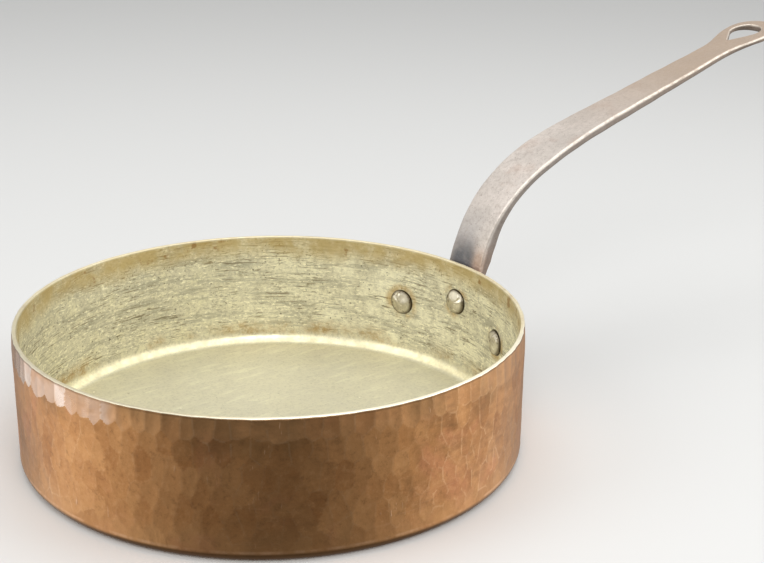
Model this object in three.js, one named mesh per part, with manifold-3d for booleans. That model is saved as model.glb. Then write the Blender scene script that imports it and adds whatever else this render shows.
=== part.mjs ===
// Low straight-sided copper saucepan: a copper shell with a tinned inside, and one iron handle
// cast in one piece with the curved flange that three rivets hold to the wall.
// Millimetres. The origin is the centre of the base on the table, +Z is up, and the handle points along +X.
import * as THREE from "three";
import { mergeVertices } from "three/addons/utils/BufferGeometryUtils.js";
import Module from "manifold-3d";

// Pan
const PAN_RADIUS = 140;
const PAN_HEIGHT = 75.6;
const COPPER_WALL = 2.4;
const BASE_CORNER = 6.3; // outer radius between the wall and the base
const TIN_COAT = 0.45;
const TIN_FILLET = 7; // radius between the tinned wall and floor
const BOND_GAP = 0.05; // keeps the copper and the tin apart as solids
const ROUND_STEPS = 96; // facets round the pan
const CORNER_STEPS = 5;

// Rivets: one on the handle's centre line, and one lower on each side of it
const SIDE_RIVET_ANGLE = THREE.MathUtils.degToRad(18.6);
const SIDE_RIVET_HEIGHT = 39.5;
const CENTRE_RIVET_HEIGHT = 51;
const SHANK_RADIUS = 4;
const HEAD_RADIUS = 7.5;
const HEAD_EDGE = 0.8; // straight edge under each domed head
const INNER_DOME = 2.6;
const OUTER_DOME = 1.8;
const RIVET_STEPS = 28;
const DOME_STEPS = 4;
const FIT_GAP = 0.3; // between the handle, the wall and the rivet shanks
const SEAT_GAP = 0.1; // under the rivet heads

// Flange
const FLANGE_THICKNESS = 4.5;
const EAR_RADIUS = 12.5; // round end of the flange about each side rivet
const EAR_END = THREE.MathUtils.degToRad(105); // where the ear's arc turns up to the neck
const FLANGE_LOW = 36; // lower edge on the centre line
const FLANGE_HIGH = 66; // where the flange has narrowed to the neck

// Handle, side view: x is the distance from the pan's axis, and the second number is the height
const NECK_FOOT = new THREE.Vector2(140.6, 56.1);
const NECK_RISE = new THREE.Vector2(144.1, 113.9); // Bezier controls of the neck's upper line
const NECK_LEAN = new THREE.Vector2(184, 135.9);
const SHANK_START = new THREE.Vector2(252, 153.9);
const SHANK_SLOPE = 0.265;
const BELLY_RADIUS = 58; // radius of the rounded underside, across the handle
// Thickness on the centre line, at distances along the upper line from the neck's foot
const THICKNESS = [
  [0, 4.2],
  [10, 6.6],
  [24, 10],
  [36, 10.2],
  [50, 8.6],
  [64, 7.7],
  [84, 7.4],
  [120, 7.8],
  [160, 7.7],
  [200, 7],
  [240, 5.9],
  [290, 5],
];

// Handle, plan view: half width at distances from the pan's axis
const HALF_WIDTH = [
  [138, 14.3],
  [150, 13.7],
  [168, 14.8],
  [198, 16],
  [225, 15.3],
  [252, 13.9],
  [290, 12.7],
  [330, 12],
  [364, 10.9],
  [376, 12],
  [386, 14.8],
  [396, 17.2],
];
const LOOP_CENTRE = 405; // of the round end, from the pan's axis
const LOOP_RADIUS = 18;
const EYE_CENTRE = 403.5; // centre of the hanging eye, from the pan's axis
const EYE_OFFSET = 2; // the eye sits off the centre line, towards +Y
const EYE_RADIUS = 10.8;
const EYE_TIP = 19.5; // from the eye's centre to its pointed end, towards the pan
const OUTLINE_STEPS = 44;
const BELLY_STEPS = 44;
const LOOP_STEPS = 10;
const EYE_STEPS = 28;

// Cutting blocks
const BLOCK_DEPTH = 60; // larger than any handle section
const SECTION_HEIGHT = 17; // above the underside, more than the greatest thickness
const SPOT_DEPTH = 10; // how deep a rivet head's seat is cut clear of the neck

const wasm = await Module();
wasm.setup();

function solid(geometry) {
  const bare = geometry.clone();
  bare.deleteAttribute("normal");
  bare.deleteAttribute("uv");
  const merged = mergeVertices(bare, 1e-4);
  return new wasm.Manifold(
    new wasm.Mesh({
      numProp: 3,
      vertProperties: merged.attributes.position.array,
      triVerts: new Uint32Array(merged.index.array),
    }),
  );
}

function geometryOf(manifold) {
  const mesh = manifold.getMesh();
  const geometry = new THREE.BufferGeometry();
  geometry.setAttribute("position", new THREE.BufferAttribute(mesh.vertProperties, 3));
  geometry.setIndex(new THREE.BufferAttribute(mesh.triVerts, 1));
  geometry.computeVertexNormals();
  return geometry;
}

// Points of an arc about (cx, cy), both ends included.
function arcPoints(cx, cy, radius, from, to, steps) {
  const points = [];
  for (let i = 0; i <= steps; i++) {
    const angle = from + ((to - from) * i) / steps;
    points.push(new THREE.Vector2(cx + radius * Math.cos(angle), cy + radius * Math.sin(angle)));
  }
  return points;
}

// A profile of (radius, height) points turned about Z.
function turned(profile, steps) {
  return new THREE.LatheGeometry(profile, steps).rotateX(Math.PI / 2);
}

// A shape extruded straight along Z from z = 0.
function straightBlock(shape, depth) {
  return new THREE.ExtrudeGeometry(shape, { depth, bevelEnabled: false });
}

// An outline and its mirror image about the second axis, joined into one shape.
function mirroredShape(points, mirror) {
  const other = points.map(mirror).reverse();
  return new THREE.Shape([...points, ...other]);
}

function copperShell() {
  const innerRadius = PAN_RADIUS - COPPER_WALL;
  const innerCorner = BASE_CORNER - COPPER_WALL;
  const top = PAN_HEIGHT - TIN_COAT - BOND_GAP;
  const profile = [
    new THREE.Vector2(0, 0),
    ...arcPoints(PAN_RADIUS - BASE_CORNER, BASE_CORNER, BASE_CORNER, -Math.PI / 2, 0, CORNER_STEPS),
    new THREE.Vector2(PAN_RADIUS, top),
    new THREE.Vector2(innerRadius, top),
    ...arcPoints(innerRadius - innerCorner, BASE_CORNER, innerCorner, 0, -Math.PI / 2, CORNER_STEPS),
    new THREE.Vector2(0, COPPER_WALL),
  ];
  return turned(profile, ROUND_STEPS);
}

// The tin covers the floor, the inner wall and the top of the rim.
function tinLining() {
  const outerRadius = PAN_RADIUS - COPPER_WALL - BOND_GAP;
  const outerCorner = BASE_CORNER - COPPER_WALL;
  const innerRadius = outerRadius - TIN_COAT;
  const under = COPPER_WALL + BOND_GAP;
  const floor = under + TIN_COAT;
  const rimUnder = PAN_HEIGHT - TIN_COAT;
  const profile = [
    new THREE.Vector2(0, under),
    ...arcPoints(outerRadius - outerCorner, under + outerCorner, outerCorner, -Math.PI / 2, 0, CORNER_STEPS),
    new THREE.Vector2(outerRadius, rimUnder),
    new THREE.Vector2(PAN_RADIUS, rimUnder),
    new THREE.Vector2(PAN_RADIUS, PAN_HEIGHT),
    new THREE.Vector2(innerRadius, PAN_HEIGHT),
    ...arcPoints(innerRadius - TIN_FILLET, floor + TIN_FILLET, TIN_FILLET, 0, -Math.PI / 2, CORNER_STEPS),
    new THREE.Vector2(0, floor),
  ];
  return turned(profile, ROUND_STEPS);
}

// A cylinder about a rivet's axis, from one distance to another from the pan's axis.
function rivetCylinder(rivet, radius, from, to) {
  const cylinder = new THREE.CylinderGeometry(radius, radius, to - from, RIVET_STEPS);
  cylinder.rotateZ(-Math.PI / 2);
  cylinder.translate((from + to) / 2, 0, rivet.height);
  cylinder.rotateZ(rivet.angle);
  return solid(cylinder);
}

// A rivet along X, its shank through the wall and the flange, with x = 0 on the wall's outer face.
function rivetGeometry() {
  const tinRadius = PAN_RADIUS - COPPER_WALL - BOND_GAP - TIN_COAT;
  const nearFacet = tinRadius * Math.cos(Math.PI / ROUND_STEPS);
  const innerSeat = Math.sqrt(nearFacet ** 2 - HEAD_RADIUS ** 2) - SEAT_GAP - PAN_RADIUS;
  const outerSeat = FIT_GAP + FLANGE_THICKNESS + SEAT_GAP;
  const profile = [new THREE.Vector2(0, innerSeat - HEAD_EDGE - INNER_DOME)];
  profile.push(...domePoints(innerSeat - HEAD_EDGE, INNER_DOME, -1).slice(1));
  profile.push(new THREE.Vector2(HEAD_RADIUS, innerSeat));
  profile.push(new THREE.Vector2(SHANK_RADIUS, innerSeat));
  profile.push(new THREE.Vector2(SHANK_RADIUS, outerSeat));
  profile.push(new THREE.Vector2(HEAD_RADIUS, outerSeat));
  profile.push(...domePoints(outerSeat + HEAD_EDGE, OUTER_DOME, 1).reverse());
  return new THREE.LatheGeometry(profile, RIVET_STEPS).rotateZ(-Math.PI / 2);
}

// A spherical cap over a rivet head, from its crown to its edge.
function domePoints(base, height, side) {
  const sphere = (HEAD_RADIUS ** 2 + height ** 2) / (2 * height);
  const halfAngle = Math.asin(HEAD_RADIUS / sphere);
  const points = [];
  for (let i = 0; i <= DOME_STEPS; i++) {
    const angle = (halfAngle * i) / DOME_STEPS;
    const along = height - sphere * (1 - Math.cos(angle));
    points.push(new THREE.Vector2(sphere * Math.sin(angle), base + side * along));
  }
  return points;
}

// The flange seen along X: a round ear about each side rivet, rising to the width of the neck.
function flangeOutline() {
  const earSide = (PAN_RADIUS + FIT_GAP) * Math.sin(SIDE_RIVET_ANGLE);
  const earFoot = SIDE_RIVET_HEIGHT - EAR_RADIUS;
  const neckHalf = HALF_WIDTH[0][1];
  const half = new THREE.Path();
  half.moveTo(0, FLANGE_LOW);
  half.bezierCurveTo(earSide * 0.4, FLANGE_LOW, earSide * 0.65, earFoot, earSide, earFoot);
  half.absarc(earSide, SIDE_RIVET_HEIGHT, EAR_RADIUS, -Math.PI / 2, EAR_END, false);
  const shoulder = new THREE.Vector2(neckHalf * 1.25, FLANGE_HIGH - 8);
  half.bezierCurveTo(earSide * 0.6, FLANGE_HIGH - 12, shoulder.x, shoulder.y, neckHalf, FLANGE_HIGH);
  return mirroredShape(half.getPoints(8), (p) => new THREE.Vector2(-p.x, p.y));
}

function flange() {
  const inner = PAN_RADIUS + FIT_GAP;
  const outer = inner + FLANGE_THICKNESS;
  const low = SIDE_RIVET_HEIGHT - EAR_RADIUS - 2;
  const ring = turned(
    [
      new THREE.Vector2(inner, low),
      new THREE.Vector2(outer, low),
      new THREE.Vector2(outer, FLANGE_HIGH),
      new THREE.Vector2(inner, FLANGE_HIGH),
      new THREE.Vector2(inner, low),
    ],
    ROUND_STEPS,
  );
  const outline = straightBlock(flangeOutline(), 2 * PAN_RADIUS);
  const alongX = new THREE.Matrix4().makeBasis(
    new THREE.Vector3(0, 1, 0),
    new THREE.Vector3(0, 0, 1),
    new THREE.Vector3(1, 0, 0),
  );
  return solid(ring).intersect(solid(outline.applyMatrix4(alongX)));
}

// The handle's upper line in side view: the curved neck, then the straight shank.
function upperLine() {
  const end = new THREE.Vector2(LOOP_CENTRE + LOOP_RADIUS + 4, 0);
  end.y = SHANK_START.y + SHANK_SLOPE * (end.x - SHANK_START.x);
  const line = new THREE.CurvePath();
  line.add(new THREE.CubicBezierCurve(NECK_FOOT, NECK_RISE, NECK_LEAN, SHANK_START));
  line.add(new THREE.LineCurve(SHANK_START, end));
  return line;
}

// Everything between the upper line and the height of the neck's foot.
function belowUpperLine(line) {
  const points = [];
  for (let i = 0; i <= OUTLINE_STEPS; i++) {
    points.push(line.getPointAt(i / OUTLINE_STEPS));
  }
  points.push(new THREE.Vector2(points[OUTLINE_STEPS].x, NECK_FOOT.y));
  const block = straightBlock(new THREE.Shape(points), BLOCK_DEPTH);
  return solid(block.rotateX(Math.PI / 2).translate(0, BLOCK_DEPTH / 2, 0));
}

// A bar with a rounded underside, swept along the underside's line and taller than the handle is thick.
function roundedUnderside(line) {
  const length = line.getLength();
  const stations = [...THICKNESS, [length, THICKNESS[THICKNESS.length - 1][1]]];
  const centreLine = stations.map(([along, thickness]) => {
    const point = line.getPointAt(along / length);
    const tangent = line.getTangentAt(along / length);
    return new THREE.Vector3(point.x + tangent.y * thickness, 0, point.y - tangent.x * thickness);
  });
  const half = LOOP_RADIUS + 3;
  const spread = Math.asin(half / BELLY_RADIUS);
  const section = new THREE.Shape([
    ...arcPoints(0, -BELLY_RADIUS, BELLY_RADIUS, Math.PI / 2 - spread, Math.PI / 2 + spread, 8),
    new THREE.Vector2(-half, -SECTION_HEIGHT),
    new THREE.Vector2(half, -SECTION_HEIGHT),
  ]);
  const path = new THREE.CatmullRomCurve3(centreLine);
  const options = { steps: BELLY_STEPS, extrudePath: path, bevelEnabled: false };
  return solid(new THREE.ExtrudeGeometry(section, options));
}

// The plan outline of the neck, shank and loop, as deep as the handle is high.
function planBlock(line) {
  const sides = new THREE.SplineCurve([
    ...HALF_WIDTH.map(([along, half]) => new THREE.Vector2(along, half)),
    new THREE.Vector2(LOOP_CENTRE, LOOP_RADIUS),
  ]);
  const half = sides.getPoints(OUTLINE_STEPS);
  half.push(...arcPoints(LOOP_CENTRE, 0, LOOP_RADIUS, Math.PI / 2, 0, LOOP_STEPS).slice(1));
  const shape = mirroredShape(half, (p) => new THREE.Vector2(p.x, -p.y));
  const height = line.getPointAt(1).y + 1;
  return solid(straightBlock(shape, height));
}

// The hanging eye: a circle drawn out to a point towards the pan, cut square to the shank.
function eyeBlock() {
  const tangentAngle = Math.acos(EYE_RADIUS / EYE_TIP);
  const shape = new THREE.Shape([
    new THREE.Vector2(-EYE_TIP, 0),
    ...arcPoints(0, 0, EYE_RADIUS, -Math.PI + tangentAngle, Math.PI - tangentAngle, EYE_STEPS),
  ]);
  const block = straightBlock(shape, BLOCK_DEPTH);
  block.translate(0, 0, -BLOCK_DEPTH / 2);
  block.rotateY(-Math.atan(SHANK_SLOPE));
  block.translate(EYE_CENTRE, EYE_OFFSET, SHANK_START.y + SHANK_SLOPE * (EYE_CENTRE - SHANK_START.x));
  return solid(block);
}

// The room that the pan takes, with the fitting gap round it.
function wallBlock() {
  const radius = PAN_RADIUS + FIT_GAP;
  const cylinder = new THREE.CylinderGeometry(radius, radius, 2 * PAN_HEIGHT, ROUND_STEPS);
  return solid(cylinder.rotateX(Math.PI / 2));
}

function handle(rivets) {
  const line = upperLine();
  let casting = belowUpperLine(line).intersect(roundedUnderside(line)).intersect(planBlock(line));
  casting = casting.add(flange()).subtract(wallBlock()).subtract(eyeBlock());
  const seat = PAN_RADIUS + FIT_GAP + FLANGE_THICKNESS;
  for (const rivet of rivets) {
    casting = casting.subtract(rivetCylinder(rivet, SHANK_RADIUS + FIT_GAP, PAN_RADIUS, seat + FIT_GAP));
    casting = casting.subtract(rivetCylinder(rivet, HEAD_RADIUS + FIT_GAP, seat, seat + SPOT_DEPTH));
  }
  return geometryOf(casting);
}

function drilled(geometry, rivets) {
  let wall = solid(geometry);
  for (const rivet of rivets) {
    const hole = rivetCylinder(rivet, SHANK_RADIUS + FIT_GAP, PAN_RADIUS - SPOT_DEPTH, PAN_RADIUS + 1);
    wall = wall.subtract(hole);
  }
  return geometryOf(wall);
}

const copper = new THREE.MeshStandardMaterial({ color: 0xc38f61, roughness: 0.35, metalness: 1 });
const tin = new THREE.MeshStandardMaterial({ color: 0xc9c0a0, roughness: 0.5, metalness: 0.9 });
const iron = new THREE.MeshStandardMaterial({ color: 0xb5aa9e, roughness: 0.6, metalness: 0.8 });
const rivetMetal = new THREE.MeshStandardMaterial({ color: 0xbfb192, roughness: 0.5, metalness: 0.9 });

const rivets = [
  { name: "rivet_left", angle: SIDE_RIVET_ANGLE, height: SIDE_RIVET_HEIGHT },
  { name: "rivet_centre", angle: 0, height: CENTRE_RIVET_HEIGHT },
  { name: "rivet_right", angle: -SIDE_RIVET_ANGLE, height: SIDE_RIVET_HEIGHT },
];

function named(name, geometry, material) {
  const mesh = new THREE.Mesh(geometry, material);
  mesh.name = name;
  return mesh;
}

const pan = new THREE.Group();
pan.add(named("pan_body", drilled(copperShell(), rivets), copper));
pan.add(named("tin_lining", drilled(tinLining(), rivets), tin));
pan.add(named("handle", handle(rivets), iron));
for (const rivet of rivets) {
  const turn = new THREE.Group();
  const mesh = named(rivet.name, rivetGeometry(), rivetMetal);
  mesh.position.set(PAN_RADIUS, 0, rivet.height);
  turn.rotation.z = rivet.angle;
  turn.add(mesh);
  pan.add(turn);
}

export default pan;
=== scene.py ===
import math

import bpy
import numpy as np
from mathutils import Matrix, Vector
from mathutils.geometry import delaunay_2d_cdt


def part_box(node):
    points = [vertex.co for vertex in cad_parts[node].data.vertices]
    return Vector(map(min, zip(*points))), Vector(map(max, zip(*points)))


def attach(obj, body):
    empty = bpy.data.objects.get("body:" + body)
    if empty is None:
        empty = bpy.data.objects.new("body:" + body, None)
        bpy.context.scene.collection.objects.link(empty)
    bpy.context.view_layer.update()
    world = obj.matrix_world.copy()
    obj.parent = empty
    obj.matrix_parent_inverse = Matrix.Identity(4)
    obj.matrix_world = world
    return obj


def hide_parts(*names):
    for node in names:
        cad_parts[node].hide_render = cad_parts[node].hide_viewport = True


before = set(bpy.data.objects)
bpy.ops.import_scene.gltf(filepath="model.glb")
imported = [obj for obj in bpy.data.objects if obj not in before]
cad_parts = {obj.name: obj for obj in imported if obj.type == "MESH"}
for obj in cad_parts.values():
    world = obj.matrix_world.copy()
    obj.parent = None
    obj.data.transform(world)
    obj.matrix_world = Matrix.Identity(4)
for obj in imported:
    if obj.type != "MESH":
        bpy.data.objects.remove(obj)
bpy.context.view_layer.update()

MM = 0.001
SEED = 41

# ---------------------------------------------------------------- sizes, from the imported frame
_, body_high = (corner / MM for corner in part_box("pan_body"))
tin_low, tin_high = (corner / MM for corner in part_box("tin_lining"))
_, handle_high = (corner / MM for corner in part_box("handle"))
PAN_RADIUS = body_high.y
PAN_HEIGHT = tin_high.z
COPPER_TOP = body_high.z
BOND_GAP = 0.05  # between the copper and the tin
TIN_THICKNESS = 0.45
WALL_WITH_TIN = 2.9
COPPER_WALL = tin_low.z - BOND_GAP
TIN_RADIUS = PAN_RADIUS - WALL_WITH_TIN  # inner face of the tin on the wall
LINING = BOND_GAP + TIN_THICKNESS
TIN_FLOOR = COPPER_WALL + LINING
BASE_CORNER = 6.3
INNER_CORNER = 3.9  # of the copper inside, which the tin fills
TIN_FILLET = 7.0
FLANGE_INNER = PAN_RADIUS + 0.3
FLANGE_THICKNESS = 4.5


def rivet_place(node):
    """The angle about the pan's axis, in radians, and the height of a rivet's axis, in millimetres."""
    middle = sum((v.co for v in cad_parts[node].data.vertices), Vector())
    low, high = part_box(node)
    return math.atan2(middle.y, middle.x), (low.z + high.z) / 2 / MM


RIVETS = {node: rivet_place(node) for node in ("rivet_left", "rivet_centre", "rivet_right")}
RIVET_HEAD = 7.5
RIVET_SHANK = 4.0
INNER_CROWN = 3.3  # height of the head in the pan
OUTER_CROWN = 2.5  # height of the head on the flange


# ---------------------------------------------------------------- small helpers
def smoothstep(value, low, high):
    t = np.clip((value - low) / (high - low), 0, 1)
    return t * t * (3 - 2 * t)


def arc(centre, radius, start, stop, steps):
    """Points of an arc, angles in degrees, both ends included."""
    angles = np.radians(np.linspace(start, stop, steps + 1))
    return [(centre[0] + radius * math.cos(a), centre[1] + radius * math.sin(a)) for a in angles]


def bezier(points, steps):
    """Points of a cubic Bezier curve."""
    a, b, c, d = (np.array(p, float) for p in points)
    t = np.linspace(0, 1, steps + 1)[:, None]
    return (1 - t) ** 3 * a + 3 * (1 - t) ** 2 * t * b + 3 * (1 - t) * t * t * c + t**3 * d


def spline(points, steps):
    """A Catmull-Rom curve through points, with that many steps between each two."""
    p = np.array(points, float)
    p = np.vstack([2 * p[0] - p[1], p, 2 * p[-1] - p[-2]])
    out = []
    for i in range(1, len(p) - 2):
        for t in np.arange(steps) / steps:
            a, b, c, d = p[i - 1], p[i], p[i + 1], p[i + 2]
            linear = (c - a) * t
            square = (2 * a - 5 * b + 4 * c - d) * t * t
            cube = (3 * b - a - 3 * c + d) * t**3
            out.append(b + (linear + square + cube) / 2)
    out.append(p[-2])
    return np.array(out)


def even_loop(points, spacing):
    """The same closed line with its points an even distance apart."""
    p = np.array(points, float)
    p = np.vstack([p, p[:1]])
    along = np.r_[0, np.cumsum(np.linalg.norm(np.diff(p, axis=0), axis=1))]
    at = np.linspace(0, along[-1], round(along[-1] / spacing) + 1)[:-1]
    return np.stack([np.interp(at, along, p[:, k]) for k in range(2)], 1)


def make_piece(name, vertices, faces, attributes):
    """A smooth mesh object from vertices in millimetres, with per-vertex numbers for its material."""
    mesh = bpy.data.meshes.new(name)
    mesh.from_pydata((np.asarray(vertices, float) * MM).tolist(), [], [tuple(f) for f in faces])
    mesh.polygons.foreach_set("use_smooth", np.ones(len(mesh.polygons), bool))
    for key, values in attributes.items():
        layer = mesh.attributes.new(key, "FLOAT", "POINT")
        layer.data.foreach_set("value", np.asarray(values, np.float32).ravel())
    piece = bpy.data.objects.new(name, mesh)
    bpy.context.scene.collection.objects.link(piece)
    return piece


def revolved(profile, columns, offset):
    """Vertices and faces of a profile of (radius, height) points turned about Z, closed on the axis.
    offset(theta, rings) gives how far each vertex moves in radius and in height."""
    rings = np.array(profile[1:-1], float)
    theta = np.linspace(0, 2 * np.pi, columns, endpoint=False)
    radius_shift, height_shift = offset(theta, rings)
    radius = np.repeat(rings[:, :1], columns, 1) + radius_shift
    height = np.repeat(rings[:, 1:], columns, 1) + height_shift
    x, y = radius * np.cos(theta), radius * np.sin(theta)
    vertices = np.stack([x, y, height], -1).reshape(-1, 3)
    vertices = np.vstack([vertices, (0, 0, profile[0][1]), (0, 0, profile[-1][1])])
    first, last = len(vertices) - 2, len(vertices) - 1
    j = np.arange(columns)
    k = (j + 1) % columns
    faces = []
    for i in range(len(rings) - 1):
        a, b = i * columns, (i + 1) * columns
        faces.extend(np.stack([a + j, a + k, b + k, b + j], 1).tolist())
    faces.extend([first, int(b), int(a)] for a, b in zip(j, k))
    top = (len(rings) - 1) * columns
    faces.extend([int(top + a), int(top + b), last] for a, b in zip(j, k))
    return vertices, faces


# ---------------------------------------------------------------- hammered copper body
BLOW_WIDTH = 9.0  # spacing of the planishing blows round the pan
BLOW_HEIGHT = 12.6  # spacing of the rows below the row of tongues under the rim
BLOW_ROWS = 6
TONGUE_HEIGHT = 12.0  # how far the tongues under the rim reach down
TONGUE_LEAN = 0.066  # slope by which they lean inwards
TONGUE_BOWL = (46, 900)  # radii of a blow's bowl, round the wall and up it
BLOW_BOWL = (95, 300)
BODY_COLUMNS = 880
ROW_STEP = 1.0
LENGTH = 2 * math.pi * PAN_RADIUS


def hammer_blows():
    """The blows row by row. Each is a shallow bowl: centre round the wall and up it, curvature both
    ways, lean up the wall, depth at its centre, and a tone for its colour."""
    random = np.random.default_rng(SEED)
    rows = []
    for row in range(BLOW_ROWS):
        tongue = row == 0
        count = round(LENGTH / (BLOW_WIDTH * (0.93 if tongue else 1.0)))
        spacing = LENGTH / count
        slide = 1.2 if tongue else 2.3
        bowl = TONGUE_BOWL if tongue else BLOW_BOWL
        foot = PAN_HEIGHT - TONGUE_HEIGHT
        height = foot if tongue else foot - BLOW_HEIGHT * (row - 0.45)
        rows.append({
            "u": (np.arange(count) + 0.5 * (row % 2)) * spacing + random.uniform(-slide, slide, count),
            "z": height + random.uniform(-1.0, 1.6, count) * (1 if tongue else 2.2),
            "across": np.full(count, 1 / (2 * bowl[0])),
            "up": np.full(count, 1 / (2 * bowl[1])),
            "lean": (
                -TONGUE_LEAN * random.uniform(0.75, 1.25, count) if tongue
                else random.normal(0, 0.007, count)
            ),
            "depth": random.uniform(*((-0.02, 0.05) if tongue else (0.02, 0.1)), count),
            "tone": random.uniform(0, 1, count),
            "spacing": spacing,
        })
    return rows


def hammer_field(u, z, blows):
    """The wall's outward offset at points u round it and z up it, with what is needed near ridges:
    the tone, whether the blow is a tongue, the gap to the next blow's bowl and that gap's slopes."""
    shape = np.broadcast(u, z).shape
    low, second = (np.full(shape, 1e3) for _ in range(2))
    low_u, low_z, second_u, second_z, tone, tongue, beside = (np.zeros(shape) for _ in range(7))
    for number, row in enumerate(blows):
        count = len(row["u"])
        nearest = np.round(u / row["spacing"]).astype(int)
        for step in range(-2, 3):
            i = (nearest + step) % count
            du = (u - row["u"][i] + LENGTH / 2) % LENGTH - LENGTH / 2
            dz = z - row["z"][i]
            across, up, lean = row["across"][i], row["up"][i], row["lean"][i]
            lift = across * du**2 + up * dz**2 + lean * dz - row["depth"][i]
            slope_u = np.broadcast_to(2 * across * du, shape)
            slope_z = 2 * up * dz + lean
            closer, next_closer = lift < low, (lift >= low) & (lift < second)
            second = np.where(closer, low, np.where(next_closer, lift, second))
            second_u = np.where(closer, low_u, np.where(next_closer, slope_u, second_u))
            second_z = np.where(closer, low_z, np.where(next_closer, slope_z, second_z))
            low_u, low_z = np.where(closer, slope_u, low_u), np.where(closer, slope_z, low_z)
            tone = np.where(closer, row["tone"][i], tone)
            beside = np.where(closer, tongue, np.where(next_closer, number == 0, beside))
            tongue = np.where(closer, number == 0, tongue)
            low = np.where(closer, lift, low)
    # On a ridge the tongue mark is the average of its two sides.
    share = np.where(second - low < 1e-3, 0.5, 0)
    tongue = tongue * (1 - share) + beside * share
    return low, tone, tongue, second - low, second_u - low_u, second_z - low_z


def snapped(u, z, blows):
    """Moves grid points that lie close to a ridge between two blows onto it, and marks them."""
    start = np.stack([u, z])
    near = None
    for _ in range(4):
        _, _, _, gap, slope_u, slope_z = hammer_field(u, z, blows)
        steep = slope_u**2 + slope_z**2 + 1e-12
        distance = gap / np.sqrt(steep)
        near = distance < 0.5 * ROW_STEP if near is None else near
        u = u - np.where(near, gap * slope_u / steep, 0)
        dz = np.where(near, gap * slope_z / steep, 0)
        dz[:2] = dz[-2:] = 0
        z = z - dz
    moved = np.hypot(u - start[0], z - start[1])
    near &= (distance < 0.03) & (moved < 0.62 * ROW_STEP)
    # Where that would squash or fold a square of the grid, its corners go back.
    for _ in range(4):
        grid = np.where(near, np.stack([u, z]), start)
        right = np.roll(grid, -1, 2)
        right[0, :, -1] += LENGTH
        corners = [grid[:, :-1], right[:, :-1], right[:, 1:], grid[:, 1:]]
        bad = np.zeros(corners[0].shape[1:], bool)
        for k in range(4):
            a, b, c = corners[k], corners[(k + 1) % 4], corners[(k + 2) % 4]
            area = (b[0] - a[0]) * (c[1] - b[1]) - (b[1] - a[1]) * (c[0] - b[0])
            bad |= area < 0.22 * ROW_STEP**2
        near[:-1] &= ~bad
        near[1:] &= ~bad
        near[:-1] &= ~np.roll(bad, 1, 1)
        near[1:] &= ~np.roll(bad, 1, 1)
    u, z = np.where(near, np.stack([u, z]), start)
    return u, z, near


def body_profile():
    """From the middle of the base round the outside, over the top edge and back along the inside."""
    inside = PAN_RADIUS - COPPER_WALL
    corner = PAN_RADIUS - BASE_CORNER
    below = [(0, 0.25), (14, 0.22), (40, 0.15), (75, 0.08), (105, 0.03), (122, 0), (130, 0)]
    # The corner stops short of upright, which leaves the faint crease at the foot of the wall.
    below += arc((corner + 0.25, BASE_CORNER), BASE_CORNER, -90, -14, 9)
    above = [(PAN_RADIUS - 0.12, COPPER_TOP - 0.1), (PAN_RADIUS - 0.35, COPPER_TOP)]
    above += [(inside, COPPER_TOP)]
    above += [(inside, z) for z in np.linspace(COPPER_TOP - 3, BASE_CORNER, 5)]
    above += arc((inside - INNER_CORNER, COPPER_WALL + INNER_CORNER), INNER_CORNER, -15, -90, 3)
    above += [(100, COPPER_WALL), (0, COPPER_WALL)]
    return below, above


def copper_body():
    blows = hammer_blows()
    below, above = body_profile()
    foot, top = below[-1][1] + 0.9, COPPER_TOP - 0.35
    heights = np.linspace(foot, top, round((top - foot) / ROW_STEP) + 1)
    around = np.linspace(0, LENGTH, BODY_COLUMNS, endpoint=False)
    u, z = (grid.copy() for grid in np.meshgrid(around, heights))
    u, z, near = snapped(u, z, blows)
    field, tone, tongue, *_ = hammer_field(u, z, blows)
    rings = [(around, radius, height, None) for radius, height in below[1:]]
    rings += [(u[i], PAN_RADIUS, z[i], i) for i in range(len(heights))]
    rings += [(around, radius, height, len(heights) - 1) for radius, height in above[:2]]
    rings += [(around, radius, height, None) for radius, height in above[2:-1]]
    vertices, marks = [], {"tone": [], "ridge": [], "tongue": [], "grime": []}
    for at, radius, height, row in rings:
        flat = np.zeros(BODY_COLUMNS)
        # The blows fade out just above the crease at the foot of the wall.
        fade = smoothstep(height, foot - 0.5, foot + 6) + flat
        push = field[row] * fade if row is not None else flat
        reach = radius + push
        angle = at / PAN_RADIUS
        vertices.append(np.stack([reach * np.cos(angle), reach * np.sin(angle), height + flat], -1))
        marks["tone"].append(tone[row] if row is not None else flat + 0.5)
        marks["ridge"].append(near[row] * fade if row is not None else flat)
        marks["tongue"].append(tongue[row] * fade if row is not None else flat)
        marks["grime"].append(smoothstep(height, COPPER_TOP - 1.3, COPPER_TOP - 0.3) + flat)
    vertices = np.concatenate(vertices)
    marks = {key: np.concatenate(value) for key, value in marks.items()}
    j = np.arange(BODY_COLUMNS)
    k = (j + 1) % BODY_COLUMNS
    faces = []
    for i in range(len(rings) - 1):
        a, b = i * BODY_COLUMNS, (i + 1) * BODY_COLUMNS
        quad = np.stack([a + j, a + k, b + k, b + j], 1)
        # Each quad is split along the diagonal that runs with a ridge.
        ridge = marks["ridge"][quad]
        first = (ridge[:, 0] + ridge[:, 2] >= ridge[:, 1] + ridge[:, 3])[:, None]
        faces.append(np.where(first, quad[:, [0, 1, 2]], quad[:, [0, 1, 3]]))
        faces.append(np.where(first, quad[:, [0, 2, 3]], quad[:, [1, 2, 3]]))
    faces = np.concatenate(faces).tolist()
    first, last = len(vertices), len(vertices) + 1
    inner = (len(rings) - 1) * BODY_COLUMNS
    faces += [(first, int(b), int(a)) for a, b in zip(j, k)]
    faces += [(int(inner + a), int(inner + b), last) for a, b in zip(j, k)]
    vertices = np.vstack([vertices, (0, 0, below[0][1]), (0, 0, above[-1][1])])
    marks = {key: np.r_[value, 0, 0] for key, value in marks.items()}
    return make_piece("hammered_copper_body", vertices, faces, marks), blows


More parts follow.
